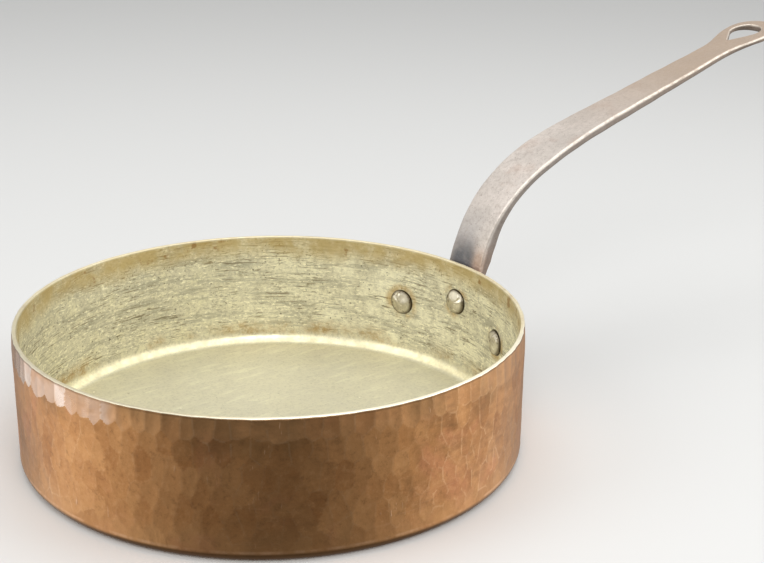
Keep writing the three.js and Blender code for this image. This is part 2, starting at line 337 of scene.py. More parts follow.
# ---------------------------------------------------------------- tin lining
LINING_COLUMNS = 480


def lining_profile():
    """From the middle of its underside, out, up, over the copper's top edge, and back down inside."""
    outer = PAN_RADIUS - COPPER_WALL - BOND_GAP
    under = COPPER_WALL + BOND_GAP
    rim_under = PAN_HEIGHT - TIN_THICKNESS
    profile = [(0, under), (100, under)]
    profile += arc((outer - INNER_CORNER, under + INNER_CORNER), INNER_CORNER, -90, 0, 4)
    profile += [(outer, rim_under), (PAN_RADIUS - 0.02, rim_under)]
    profile += arc((PAN_RADIUS - 0.42, PAN_HEIGHT - 0.4), 0.4, 0, 90, 3)
    profile += [(r, PAN_HEIGHT) for r in np.linspace(PAN_RADIUS - 0.9, TIN_RADIUS + 1.0, 3)]
    profile += arc((TIN_RADIUS + 0.6, PAN_HEIGHT - 0.6), 0.6, 90, 180, 4)
    profile += [(TIN_RADIUS, z) for z in np.linspace(PAN_HEIGHT - 1.5, TIN_FLOOR + TIN_FILLET, 44)]
    profile += arc((TIN_RADIUS - TIN_FILLET, TIN_FLOOR + TIN_FILLET), TIN_FILLET, 0, -90, 9)[1:]
    profile += [(r, TIN_FLOOR) for r in (127, 122, 115, 105, 92, 78, 62, 46, 30, 15, 5)]
    profile += [(0, TIN_FLOOR)]
    return profile


def tin_lining(blows):
    random = np.random.default_rng(SEED + 1)
    waves = [(k, random.uniform(0, 2 * np.pi)) for k in (3, 5, 8, 13, 21)]
    profile = lining_profile()
    fields = {}

    def offset(theta, rings):
        radius, height = rings[:, :1], rings[:, 1:]
        inner = np.isclose(radius, TIN_RADIUS)
        rim = height > PAN_HEIGHT - 0.7
        wave = sum(np.sin(k * theta + phase) / math.sqrt(k) for k, phase in waves)
        field = hammer_field(theta * PAN_RADIUS, height, blows)[0]
        dent = np.where(inner, smoothstep(height, 8, 16) * (1 - smoothstep(height, 52, 62)), 0)
        lip = hammer_field(theta * PAN_RADIUS, np.array([[COPPER_TOP - 0.4]]), blows)[0]
        outer = rim * smoothstep(radius, TIN_RADIUS + 1.2, PAN_RADIUS - 0.5)
        radius_shift = dent * field * 0.5 + outer * lip + np.where(inner | rim, 0.03 * wave, 0)
        height_shift = np.where(rim, 0.05 * wave, 0)
        fields["rim"] = np.repeat(np.where(rim, 1.0, 0.0), len(theta), 1)
        lip_share = rim * smoothstep(radius, PAN_RADIUS - 1.1, PAN_RADIUS - 0.5)
        fields["lip"] = np.repeat(lip_share, len(theta), 1)
        return radius_shift, height_shift

    vertices, faces = revolved(profile, LINING_COLUMNS, offset)
    padded = {key: np.r_[np.ravel(value), 0, 0] for key, value in fields.items()}
    return make_piece("worn_tin_lining", vertices, faces, padded)


# ---------------------------------------------------------------- rivets
def rivet(node):
    """A rivet with its tinned, slightly battered head in the pan and its hammered head on the flange."""
    angle, height = RIVETS[node]
    random = np.random.default_rng(SEED + 10 + len(node))
    inner_seat = math.sqrt(TIN_RADIUS**2 - RIVET_HEAD**2) - 0.12
    outer_seat = FLANGE_INNER + FLANGE_THICKNESS + 0.05
    # (distance from the rivet's axis, distance from the pan's axis), from crown to crown
    inner_head = [(RIVET_HEAD * r, inner_seat - h) for r, h in dome(INNER_CROWN)]
    outer_head = [(RIVET_HEAD * r, outer_seat + h) for r, h in dome(OUTER_CROWN)]
    profile = [(0, inner_head[0][1] - 0.002), *inner_head[1:]]
    profile += [(RIVET_SHANK + 1.5, inner_seat + 0.06), (RIVET_SHANK, inner_seat + 0.06)]
    profile += [(RIVET_SHANK, outer_seat - 0.02), (RIVET_SHANK + 1.5, outer_seat - 0.02)]
    profile += [*outer_head[1:][::-1], (0, outer_head[0][1])]
    flats = [hammer_flats(random, INNER_CROWN, 8), hammer_flats(random, OUTER_CROWN, 10)]

    def offset(theta, rings):
        radius, along = rings[:, :1], rings[:, 1:]
        x, y = radius * np.cos(theta), radius * np.sin(theta)
        shift = np.zeros((len(rings), len(theta)))
        for side, seat, planes in ((-1, inner_seat, flats[0]), (1, outer_seat, flats[1])):
            lift = (along - seat) * side
            for a, b, c in planes:
                limit = c + a * x + b * y
                shift = np.where((lift > 0.3) & (lift > limit), side * (limit - lift), shift)
        bulge = 1 + 0.025 * np.sin(2 * theta + random.uniform(0, 6)) + 0.015 * np.sin(5 * theta)
        return radius * (bulge - 1) * np.where(radius > RIVET_SHANK + 0.1, 1, 0), shift

    vertices, faces = revolved(profile, 56, offset)
    edge = np.hypot(vertices[:, 0], vertices[:, 1]) / RIVET_HEAD
    piece = make_piece(node + "_battered", vertices, faces, {"edge": edge})
    # The profile was turned about Z; the rivet's axis points out from the pan's axis.
    turn = Matrix.Rotation(angle, 4, "Z") @ Matrix.Rotation(math.pi / 2, 4, "Y")
    piece.data.transform(Matrix.Translation((0, 0, height * MM)) @ turn)
    return piece


def dome(crown):
    """(share of the head's radius, height) from the crown to the edge of a head."""
    shares = (0, 0.2, 0.4, 0.57, 0.7, 0.81, 0.9, 0.96, 1.0, 1.0)
    points = [(s, 0.7 + (crown - 0.7) * (1 - s**2.3) ** 0.62) for s in shares[:-1]]
    return points + [(0.985, 0.25), (0.96, 0.0)]


def hammer_flats(random, crown, count):
    """Planes that cut shallow flats on a head: each is (slope x, slope y, height over the axis)."""
    planes = []
    for _ in range(count):
        toward = random.uniform(0, 2 * np.pi)
        slope = random.uniform(0.12, 0.5)
        height = crown - random.uniform(0.02, 0.1) + slope * random.uniform(0.6, 2.2)
        planes.append((-slope * math.cos(toward), -slope * math.sin(toward), height))
    return planes


# ---------------------------------------------------------------- handle
NECK = [(140.6, 56.1), (144.1, 113.9), (184.0, 135.9), (252.0, 153.9)]
SHANK_SLOPE = 0.265
LOOP_CENTRE = 405.0
LOOP_RADIUS = handle_high.x - LOOP_CENTRE
EYE_CENTRE = 403.5
EYE_OFFSET = 2.0  # the eye sits off the centre line
EYE_RADIUS = 10.8
EYE_TIP = 19.5
TIP_RADIUS = 1.3
EAR_RADIUS = 12.5
FLANGE_LOW = 36.0
FLANGE_HIGH = 66.0
SPINE_FOOT = 15.0
THICKNESS = [
    (0, 4.2), (10, 6.6), (24, 10), (36, 10.2), (50, 8.6), (64, 7.7), (84, 7.4),
    (120, 7.8), (160, 7.7), (200, 7), (240, 5.9), (290, 5), (340, 5),
]
HALF_WIDTH = [
    (150, 13.7), (168, 14.8), (198, 16), (225, 15.3), (252, 13.9), (290, 12.7),
    (330, 12), (364, 10.9), (376, 12), (386, 14.8), (396, 17.2),
]
NECK_HALF = 14.3
BELLY_RADIUS = 58.0
ARRIS = 1.0  # rounding of the upper edges
EYE_ARRIS = 0.5
UNDER_ROUND = 1.2  # rounding of the lower edges
RIPPLE = 0.026  # unevenness of the casting
EDGE_RINGS = (0.1, 0.3, 0.6, 0.95, 1.5, 2.4)
GRID = 1.7


class Spine:
    """The line up the wall's outer face, along the neck's upper side and the top of the shank."""

    def __init__(self):
        foot = NECK[0]
        end_x = LOOP_CENTRE + LOOP_RADIUS + 2
        end = (end_x, NECK[3][1] + SHANK_SLOPE * (end_x - NECK[3][0]))
        wall = np.linspace((FLANGE_INNER, SPINE_FOOT), foot, 30)
        line = np.vstack([wall[:-1], bezier(NECK, 200), np.linspace(NECK[3], end, 200)[1:]])
        along = np.r_[0, np.cumsum(np.linalg.norm(np.diff(line, axis=0), axis=1))]
        self.along = along - along[len(wall) - 1]
        self.line = line
        self.direction = np.gradient(line, self.along, axis=0)
        self.direction /= np.linalg.norm(self.direction, axis=1)[:, None]

    def at_x(self, x):
        start = np.searchsorted(self.along, 0)
        return float(np.interp(x, self.line[start:, 0], self.along[start:]))

    def at_z(self, z):
        return float(np.interp(z, self.line[:, 1], self.along))

    def place(self, v, u, h):
        """A point v along the spine, u to the side and h out. The flange wraps round the wall."""
        x, z = (np.interp(v, self.along, column) for column in self.line.T)
        tx, tz = (np.interp(v, self.along, column) for column in self.direction.T)
        straight = np.stack([x + h * tz, u, z - h * tx], -1)
        angle = u / FLANGE_INNER
        wrapped = np.stack([(x + h) * np.cos(angle), (x + h) * np.sin(angle), z], -1)
        blend = smoothstep(v, -2, 22)[:, None]
        return straight * blend + wrapped * (1 - blend)


def handle_outline(spine):
    """The casting's outer edge laid flat: v along the spine, u to the side."""
    ear_u = FLANGE_INNER * abs(RIVETS["rivet_left"][0])
    ear_z = RIVETS["rivet_left"][1]
    low, high = spine.at_z(FLANGE_LOW), spine.at_z(FLANGE_HIGH)
    ear_v = spine.at_z(ear_z)
    ear_low = ear_v - EAR_RADIUS
    under = bezier([(low, 0), (low, ear_u * 0.4), (ear_low, ear_u * 0.65), (ear_low, ear_u)], 24)
    ear = [(ear_v + p[1], ear_u + p[0]) for p in arc((0, 0), EAR_RADIUS, -90, 105, 30)]
    neck = (high, NECK_HALF)
    over = bezier([ear[-1], (high - 12, ear_u * 0.6), (high - 8, NECK_HALF * 1.25), neck], 24)
    sides = [neck] + [(spine.at_x(x), half) for x, half in HALF_WIDTH]
    loop_v = spine.at_x(LOOP_CENTRE)
    sides = spline(sides + [(loop_v, LOOP_RADIUS)], 12)
    end = [(loop_v + p[0], p[1]) for p in arc((0, 0), LOOP_RADIUS, 90, 0, 20)]
    half = np.vstack([under, ear[1:], over[1:], sides[1:], end[1:]])
    other = half[1:-1][::-1] * (1, -1)
    return even_loop(np.vstack([half, other]), 1.1)


def eye_outline(spine):
    """The hanging eye laid flat: a circle drawn out to a small round tip towards the pan."""
    reach = EYE_TIP - TIP_RADIUS
    turn = math.degrees(math.acos((EYE_RADIUS - TIP_RADIUS) / reach))
    big = arc((0, 0), EYE_RADIUS, -(180 - turn), 180 - turn, 48)
    small = arc((-reach, 0), TIP_RADIUS, 180 - turn, 180 + turn, 8)
    return even_loop(np.array(big + small) + (spine.at_x(EYE_CENTRE), EYE_OFFSET), 0.9)


def edge_distance(points, loops):
    """Distance from each point to the nearest edge of any loop."""
    best = np.full(len(points), 1e9)
    for loop in loops:
        a, b = loop, np.roll(loop, -1, 0)
        along = b - a
        for start in range(0, len(points), 2000):
            p = points[start:start + 2000, None]
            t = np.clip(((p - a) * along).sum(-1) / (along**2).sum(-1), 0, 1)
            gap = np.linalg.norm(p - (a + t[..., None] * along), axis=-1).min(1)
            best[start:start + 2000] = np.minimum(best[start:start + 2000], gap)
    return best


def inside(points, loops):
    """Whether each point is inside the outline and outside its holes, by counting crossings."""
    crossings = np.zeros(len(points), int)
    for loop in loops:
        a, b = loop, np.roll(loop, -1, 0)
        for (ax, ay), (bx, by) in zip(a, b):
            spans = (ay > points[:, 1]) != (by > points[:, 1])
            if ay != by:
                crossings += spans & (points[:, 0] < ax + (points[:, 1] - ay) * (bx - ax) / (by - ay))
    return crossings % 2 == 1


def plan_mesh(loops):
    """A triangle mesh of the flat shape between the loops, finer near every edge."""
    rings = []
    for loop in loops:
        side = np.roll(loop, -1, 0) - np.roll(loop, 1, 0)
        normal = np.stack([-side[:, 1], side[:, 0]], 1) / np.linalg.norm(side, axis=1)[:, None]
        for gap in EDGE_RINGS:
            for sign in (-1, 1):
                moved = loop + sign * gap * normal
                moved = moved[inside(moved, loops)]
                if len(moved):
                    rings.append(moved[edge_distance(moved, loops) > 0.97 * gap])
    low, high = loops[0].min(0), loops[0].max(0)
    rows = np.arange(low[1], high[1], GRID * 0.866)
    columns = np.arange(low[0], high[0], GRID)
    field = np.array([(x + (i % 2) * GRID / 2, y) for i, y in enumerate(rows) for x in columns])
    field = field[inside(field, loops)]
    field = field[edge_distance(field, loops) > EDGE_RINGS[-1] + 0.5 * GRID]
    points = np.vstack([*loops, *rings, field])
    edges, start = [], 0
    for loop in loops:
        edges += [(start + i, start + (i + 1) % len(loop)) for i in range(len(loop))]
        start += len(loop)
    found, _, triangles, *_ = delaunay_2d_cdt([Vector(p) for p in points], edges, [], 0, 1e-5)
    found, triangles = np.array([tuple(p) for p in found]), np.array(triangles)
    triangles = triangles[inside(found[triangles].mean(1), loops)]
    return found, triangles


def casting_thickness(v, u):
    """Thickness of the casting, with the rounded belly, and the plain flange where it meets the wall."""
    along, deep = zip(*THICKNESS)
    belly = np.interp(v, along, deep) - np.minimum(u**2 / (2 * BELLY_RADIUS), 2.2)
    share = (1 - smoothstep(np.abs(u), 12.5, 21)) * smoothstep(v, -3, 9)
    return FLANGE_THICKNESS + (belly - FLANGE_THICKNESS) * share


def rounding(gap, radius):
    """How far a surface falls away at a distance from a rounded edge."""
    near = np.clip(radius - gap, 0, radius)
    return radius - np.sqrt(radius**2 - near**2)


def iron_handle():
    spine = Spine()
    loops = [handle_outline(spine), eye_outline(spine)]
    flat, triangles = plan_mesh(loops)
    v, u = flat[:, 0], flat[:, 1]
    outer_gap, eye_gap = edge_distance(flat, loops[:1]), edge_distance(flat, loops[1:])
    gap = np.minimum(outer_gap, eye_gap)
    thickness = casting_thickness(v, u)
    random = np.random.default_rng(SEED + 3)
    ripple = 0
    for _ in range(9):
        height = random.normal(0, RIPPLE)
        along = v * random.uniform(0.05, 0.3)
        across = u * random.uniform(-0.25, 0.25)
        ripple = ripple + height * np.sin(along + across + random.uniform(0, 6))
    upper = rounding(outer_gap, ARRIS) + rounding(eye_gap, EYE_ARRIS) + ripple * smoothstep(v, 20, 34)
    lower = thickness - rounding(gap, UNDER_ROUND) + 0.9 * ripple
    count = len(flat)
    faces = [tuple(t) for t in triangles] + [tuple(t + count) for t in triangles[:, ::-1]]
    vertices = [spine.place(v, u, upper), spine.place(v, u, lower)]
    wear_and_highlight = [np.maximum(np.exp(-outer_gap / 1.25), np.exp(-eye_gap / 0.7)), 0.3 * np.exp(-gap / 1.2)]
    skin_and_shade = [np.zeros(count), np.ones(count)]
    edge_faces, edge_vertices, edge_wear_and_highlight = casting_edges(spine, triangles, flat, upper, lower)
    faces += edge_faces
    skin_and_shade += [np.full(len(part), share) for part, share in zip(edge_wear_and_highlight, (0.35, 1, 1))]
    marks = {"wear_and_highlight": np.concatenate(wear_and_highlight + edge_wear_and_highlight), "skin_and_shade": np.concatenate(skin_and_shade)}
    return make_piece("iron_handle_casting", np.vstack(vertices + edge_vertices), faces, marks)


def casting_edges(spine, triangles, flat, upper, lower):
    """The strip of faces that joins the upper and lower surfaces along every free edge."""
    count = len(flat)
    triangles = triangles.tolist()
    edges = dict.fromkeys(edge for a, b, c in triangles for edge in ((a, b), (b, c), (c, a)))
    free = [(a, b) for a, b in edges if (b, a) not in edges]
    rim = sorted({i for edge in free for i in edge})
    steps = (0.12, 0.5, 0.88)
    place = {i: n for n, i in enumerate(rim)}
    index = np.array(rim)
    vertices, wear_and_highlight = [], []
    for step in steps:
        height = upper[index] + (lower[index] - upper[index]) * step
        vertices.append(spine.place(flat[index, 0], flat[index, 1], height))
        wear_and_highlight.append(np.full(len(index), 0.75 if step == steps[0] else 0.1))
    faces = []
    for a, b in free:
        lines = [(a, b)]
        for level in range(len(steps)):
            base = 2 * count + level * len(rim)
            lines.append((base + place[a], base + place[b]))
        lines.append((a + count, b + count))
        for (p, q), (r, s) in zip(lines, lines[1:]):
            faces.append((q, p, r, s))
    return faces, vertices, wear_and_highlight


# ---------------------------------------------------------------- material nodes
class Nodes:
    """Short calls for adding nodes to a tree."""

    def __init__(self, tree):
        self.tree = tree

    def add(self, kind, **settings):
        node = self.tree.nodes.new(kind)
        for key, value in settings.items():
            setattr(node, key, value)
        return node

    def put(self, socket, value):
        if isinstance(value, bpy.types.NodeSocket):
            self.tree.links.new(value, socket)
        elif isinstance(value, tuple):
            socket.default_value = (*value, 1)  # a colour
        else:
            socket.default_value = value

    def range(self, value, low, high, to_low=0.0, to_high=1.0):
        node = self.add("ShaderNodeMapRange", interpolation_type="SMOOTHSTEP")
        self.put(node.inputs["Value"], value)
        limits = {"From Min": low, "From Max": high, "To Min": to_low, "To Max": to_high}
        for key, number in limits.items():
            node.inputs[key].default_value = number
        return node.outputs["Result"]

    def math(self, operation, a, b):
        node = self.add("ShaderNodeMath", operation=operation)
        for socket, value in zip(node.inputs, (a, b)):
            self.put(socket, value)
        return node.outputs["Value"]

    def times(self, product, *factors):
        for factor in factors:
            product = self.math("MULTIPLY", product, factor)
        return product


class Surface(Nodes):
    """One Principled material: a base colour with coats laid over it, and bumps laid over bumps."""

    def __init__(self, name, colour):
        self.material = bpy.data.materials.new(name)
        self.material.use_nodes = True
        super().__init__(self.material.node_tree)
        self.object = self.add("ShaderNodeTexCoord").outputs["Object"]
        self.colour = colour
        self.normal = None

    def value(self, name):
        return self.add("ShaderNodeAttribute", attribute_name=name).outputs["Fac"]

    def axes(self):
        node = self.add("ShaderNodeSeparateXYZ")
        self.put(node.inputs[0], self.object)
        return node.outputs

    def stretch(self, scale, turn=(0, 0, 0)):
        node = self.add("ShaderNodeMapping")
        self.put(node.inputs["Vector"], self.object)
        node.inputs["Rotation"].default_value = turn
        node.inputs["Scale"].default_value = scale
        return node.outputs["Vector"]

    def noise(self, scale, detail=3.0, rough=0.55, vector=None, warp=0.0):
        node = self.add("ShaderNodeTexNoise")
        self.put(node.inputs["Vector"], vector or self.object)
        node.inputs["Scale"].default_value = scale
        node.inputs["Detail"].default_value = detail
        node.inputs["Roughness"].default_value = rough
        node.inputs["Distortion"].default_value = warp
        return node.outputs["Fac"]

    def coat(self, share, colour):
        node = self.add("ShaderNodeMix", data_type="RGBA")
        self.put(node.inputs[0], share)
        self.put(node.inputs[6], self.colour)
        self.put(node.inputs[7], colour)
        self.colour = node.outputs[2]

    def bump(self, height, strength, distance):
        node = self.add("ShaderNodeBump")
        node.inputs["Strength"].default_value = strength
        node.inputs["Distance"].default_value = distance
        self.put(node.inputs["Height"], height)
        if self.normal is not None:
            self.put(node.inputs["Normal"], self.normal)
        self.normal = node.outputs["Normal"]

    def finish(self, roughness, metallic, *pieces):
        shader = self.tree.nodes["Principled BSDF"]
        self.put(shader.inputs["Base Color"], self.colour)
        self.put(shader.inputs["Roughness"], roughness)
        self.put(shader.inputs["Metallic"], metallic)
        self.put(shader.inputs["Normal"], self.normal)
        for piece in pieces:
            piece.data.materials.clear()
            piece.data.materials.append(self.material)


def copper_material(piece):
    n = Surface("hammered_copper", (0.62, 0.3, 0.115))
    tone, ridge, tongue, grime = (n.value(key) for key in ("tone", "ridge", "tongue", "grime"))
    x, y, z = n.axes()
    broad = n.noise(9, 4, 0.6, warp=0.8)
    cloud = n.noise(38, 5, 0.65, warp=0.5)
    streak = n.noise(1, 4, 0.65, vector=n.stretch((70, 70, 260)))
    n.coat(n.range(cloud, 0.33, 0.68), (0.46, 0.205, 0.072))
    n.coat(n.range(tone, 0, 1, 0.0, 0.55), (0.76, 0.4, 0.165))
    patina = n.times(n.range(broad, 0.46, 0.66), n.range(streak, 0.3, 0.7, 0.3, 0.9))
    patina = n.times(patina, n.range(x, 0.03, 0.11, 1, 0.3))
    n.coat(patina, (0.3, 0.15, 0.06))
    n.coat(n.range(n.noise(24, 4, 0.6, warp=0.6), 0.5, 0.7, 0, 0.6), (0.64, 0.27, 0.13))
    # Close mottling, and olive-brown stains hanging from the rim.
    grain = n.noise(260, 5, 0.75)
    n.coat(n.range(grain, 0.5, 0.72, 0, 0.45), (0.26, 0.12, 0.05))
    n.coat(n.range(grain, 0.5, 0.3, 0, 0.3), (0.82, 0.46, 0.22))
    hang = n.math("ADD", z, n.times(n.noise(40, 4, 0.65), 0.05))
    hang = n.times(n.range(hang, 0.076, 0.1), n.range(n.noise(15, 3, 0.6), 0.45, 0.6))
    hang = n.times(hang, n.range(x, 0.05, 0.1, 0.45, 0.12))
    n.coat(hang, (0.2, 0.125, 0.05))
    # The wall is lighter in colour towards its foot.
    n.coat(n.range(z, 0.024, 0.009, 0, 0.4), (0.62, 0.33, 0.14))
    # Painted highlight on the tongues under the rim: all of them a little lighter, and pink-white on the
    # side away from the handle.
    away = n.math("ADD", n.times(x, -7.14), n.times(y, -0.25))
    painted_tongue_highlight = n.times(n.range(away, 0.91, 0.97), n.range(n.noise(75, 2), 0.36, 0.55, 0.55, 1))
    tongue = n.range(tongue, 0.42, 0.58)
    painted_tongue_highlight = n.times(painted_tongue_highlight, tongue)
    n.coat(n.times(tongue, 0.25), (0.66, 0.37, 0.18))
    n.coat(n.times(painted_tongue_highlight, n.range(tone, 0, 1, 0.5, 0.95)), (0.8, 0.6, 0.48))
    n.coat(n.times(painted_tongue_highlight, n.range(tone, 0.6, 0.9, 0, 0.8)), (0.98, 0.84, 0.74))
    # Ridges between the blows, worn and with a painted highlight, brightest in scattered places.
    line = n.range(ridge, 0.2, 1.0)
    places = n.range(n.noise(21, 3, 0.6), 0.4, 0.66, 0.22, 1)
    line = n.times(line, n.times(places, n.range(n.noise(210, 2), 0.35, 0.6, 0.3, 1)))
    n.coat(n.times(line, 0.32), (0.95, 0.6, 0.33))
    scratch = n.noise(1, 2, 0.5, vector=n.stretch((760, 760, 130), (0.5, 0.35, 0)))
    nick = n.times(n.range(scratch, 0.66, 0.73), n.range(n.noise(30, 2), 0.54, 0.66))
    hair = n.noise(1, 2, 0.5, vector=n.stretch((55, 55, 1300), (0.12, -0.1, 0)))
    hair = n.times(n.range(hair, 0.63, 0.7), n.range(n.noise(26, 2), 0.46, 0.62))
    marks = n.math("MAXIMUM", nick, n.times(hair, 0.14))
    n.coat(n.times(marks, 0.45), (0.9, 0.6, 0.4))
    # Dirt in the joint under the rim, a painted highlight along the crease at the foot of the wall and
    # painted shade on the corner below.
    n.coat(n.times(grime, 0.75), (0.12, 0.065, 0.03))
    # Painted shade on the corner under the wall.
    n.coat(n.range(z, 0.0062, 0.0042, 0, 0.5), (0.15, 0.08, 0.04))
    # Painted highlight along the crease.
    crease_highlight = n.times(n.range(z, 0.0048, 0.0056), n.range(z, 0.0072, 0.0062))
    crease_highlight = n.times(crease_highlight, n.range(n.noise(45, 4, 0.7), 0.4, 0.62))
    n.coat(n.times(crease_highlight, 0.55), (0.85, 0.52, 0.3))
    roughness = n.math("ADD", n.range(cloud, 0.3, 0.7, 0.31, 0.42), n.times(patina, 0.1))
    roughness = n.math("SUBTRACT", roughness, n.times(n.math("MAXIMUM", line, painted_tongue_highlight), 0.08))
    n.bump(n.noise(620, 4, 0.65), 0.14, 0.0004)
    n.bump(n.noise(150, 3, 0.5), 0.16, 0.0006)
    n.bump(n.noise(40, 4, 0.55, warp=0.5), 0.15, 0.003)
    n.bump(marks, 0.3, 0.0002)
    n.finish(roughness, 1.0, piece)


def rivet_places():
    """The middles of the three heads on the inner wall, in metres."""
    reach = TIN_RADIUS * MM
    return [(reach * math.cos(a), reach * math.sin(a), h * MM) for a, h in RIVETS.values()]


def tin_material(piece):
    n = Surface("worn_tin", (0.74, 0.7, 0.52))
    x, y, z = n.axes()
    rim, lip = n.value("rim"), n.value("lip")
    height = PAN_HEIGHT * MM
    broad = n.noise(14, 4, 0.6, warp=0.6)
    mottle = n.noise(75, 5, 0.7, warp=0.4)
    fine = n.noise(560, 4, 0.75)
    n.coat(n.range(broad, 0.35, 0.65), (0.6, 0.565, 0.42))
    n.coat(n.range(mottle, 0.38, 0.7, 0, 0.75), (0.8, 0.76, 0.53))
    n.coat(n.range(fine, 0.45, 0.68, 0, 0.62), (0.32, 0.3, 0.22))
    wall, ground = n.range(z, 0.008, 0.014), n.range(z, 0.0045, 0.0031)
    # Painted light: the wall is brighter on the side by the handle.
    handle_side_light = n.times(n.range(x, 0.02, 0.12, 0, 0.6), wall)
    n.coat(n.times(handle_side_light, n.range(mottle, 0.35, 0.65)), (0.95, 0.92, 0.72))
    # Rubbed grey patches, bright glints, and dark scoured lines and pits that run round the wall.
    wiped = n.noise(1, 5, 0.7, vector=n.stretch((26, 26, 210)))
    patches = n.times(n.range(wiped, 0.48, 0.64), wall)
    n.coat(n.times(patches, 0.68), (0.38, 0.36, 0.27))
    glints = n.noise(1, 4, 0.75, vector=n.stretch((260, 260, 760), (0, 0, 0.6)))
    glints = n.times(n.range(glints, 0.52, 0.66), wall)
    n.coat(n.times(glints, 0.85), (1.0, 0.96, 0.73))
    short = n.noise(1, 3, 0.7, vector=n.stretch((150, 150, 1300)))
    long = n.noise(1, 3, 0.65, vector=n.stretch((44, 44, 950), (0.02, 0.02, 0)))
    lines = n.math("MAXIMUM", n.range(short, 0.56, 0.65), n.range(long, 0.58, 0.65))
    crowded = n.range(n.noise(1, 4, 0.7, vector=n.stretch((22, 22, 55))), 0.4, 0.56)
    lines = n.times(lines, crowded, wall)
    n.coat(n.times(lines, 0.8), (0.18, 0.14, 0.07))
    pits = n.times(n.range(n.noise(620, 3), 0.62, 0.7), n.range(n.noise(44, 3), 0.4, 0.58))
    n.coat(n.times(pits, wall, 0.85), (0.1, 0.08, 0.045))
    # Ochre heat stain under the rim with darker spots, and brown patches just above the floor.
    edge = n.math("ADD", z, n.times(n.noise(20, 4, 0.6), 0.022))
    stain = n.range(edge, height - 0.008, height + 0.006)
    stain = n.times(stain, n.range(n.noise(60, 4, 0.7), 0.3, 0.62, 0.45, 1))
    n.coat(n.times(stain, 0.8), (0.47, 0.34, 0.12))
    spots = n.times(n.range(n.noise(110, 3, 0.6), 0.6, 0.7), n.range(stain, 0.2, 0.7))
    n.coat(n.times(spots, 0.75), (0.3, 0.16, 0.045))
    low = n.math("ADD", z, n.times(n.noise(48, 4, 0.7), 0.012))
    low = n.times(n.range(low, 0.0125, 0.0165), n.range(low, 0.0265, 0.0175))
    low = n.times(low, n.range(n.noise(17, 4, 0.65), 0.42, 0.6))
    low = n.times(low, n.range(n.noise(300, 4, 0.75), 0.36, 0.6, 0.35, 1))
    n.coat(n.times(low, 0.9), (0.4, 0.24, 0.065))
    # Painted highlight on the turn into the floor: brighter and yellower, with duller gaps.
    uneven = n.math("ADD", z, n.times(n.noise(85, 4, 0.7), 0.004))
    turn = n.times(n.range(z, 0.003, 0.0045), n.range(uneven, 0.0118, 0.0068))
    grit = n.range(n.noise(150, 5, 0.7), 0.36, 0.62)
    n.coat(n.times(turn, n.range(mottle, 0.35, 0.62, 0.55, 0.9)), (0.95, 0.88, 0.58))
    highlight_gaps = n.times(turn, n.math("SUBTRACT", 1.0, grit))
    n.coat(n.times(highlight_gaps, 0.5), (0.52, 0.46, 0.28))
    # The floor: an evener grey, faint wiped arcs, a few bright flecks, small dark specks.
    n.coat(n.times(ground, 0.6), (0.53, 0.505, 0.385))
    swept = n.noise(1, 4, 0.7, vector=n.stretch((35, 190, 35), (0, 0, 0.5)))
    n.coat(n.times(n.range(swept, 0.5, 0.7, 0, 0.4), ground), (0.78, 0.76, 0.55))
    flecks = n.times(n.range(n.noise(240, 3, 0.6), 0.69, 0.74), ground)
    flecks = n.times(flecks, n.range(n.noise(22, 2), 0.5, 0.62))
    n.coat(flecks, (1.0, 0.96, 0.78))
    n.coat(n.times(n.range(n.noise(330, 2), 0.7, 0.76), ground, 0.6), (0.2, 0.17, 0.1))
    # Around each rivet head, painted shade at the joint and an ochre halo.
    for place in rivet_places():
        far = n.add("ShaderNodeVectorMath", operation="DISTANCE")
        n.put(far.inputs[0], n.object)
        far.inputs[1].default_value = place
        reach = n.math("ADD", far.outputs["Value"], n.times(n.noise(130, 3, 0.6), 0.004))
        halo = n.times(n.range(reach, 0.0155, 0.0105), n.range(n.noise(75, 3, 0.6), 0.42, 0.6))
        n.coat(n.times(halo, 0.7), (0.5, 0.33, 0.11))
        # Painted shade in a ring round the foot of the head.
        n.coat(n.range(far.outputs["Value"], 0.0084, 0.0077), (0.085, 0.062, 0.032))
    n.coat(n.times(rim, 0.5), (0.76, 0.7, 0.52))
    n.coat(n.times(lip, n.range(n.noise(40, 4, 0.7), 0.35, 0.6, 0.3, 0.75)), (0.9, 0.83, 0.68))
    # Painted shade on the rim on the side away from the handle, and a painted highlight along the -Y
    # side.
    n.coat(n.times(rim, n.range(x, -0.09, -0.12, 0, 0.6)), (0.46, 0.42, 0.3))
    n.coat(n.times(rim, n.range(y, -0.09, -0.12, 0, 0.6)), (0.97, 0.92, 0.75))
    roughness = n.math("ADD", n.range(broad, 0.3, 0.7, 0.42, 0.54), n.times(lip, -0.12))
    roughness = n.math("SUBTRACT", roughness, n.times(n.math("MAXIMUM", flecks, turn), 0.1))
    n.bump(n.noise(520, 4, 0.65), 0.2, 0.0004)
    n.bump(wiped, 0.25, 0.0005)
    n.bump(mottle, 0.3, 0.0008)
    n.bump(n.times(grit, turn), 0.22, 0.0007)
    n.bump(n.math("MAXIMUM", lines, pits), -0.35, 0.0003)
    n.finish(roughness, 0.6, piece)


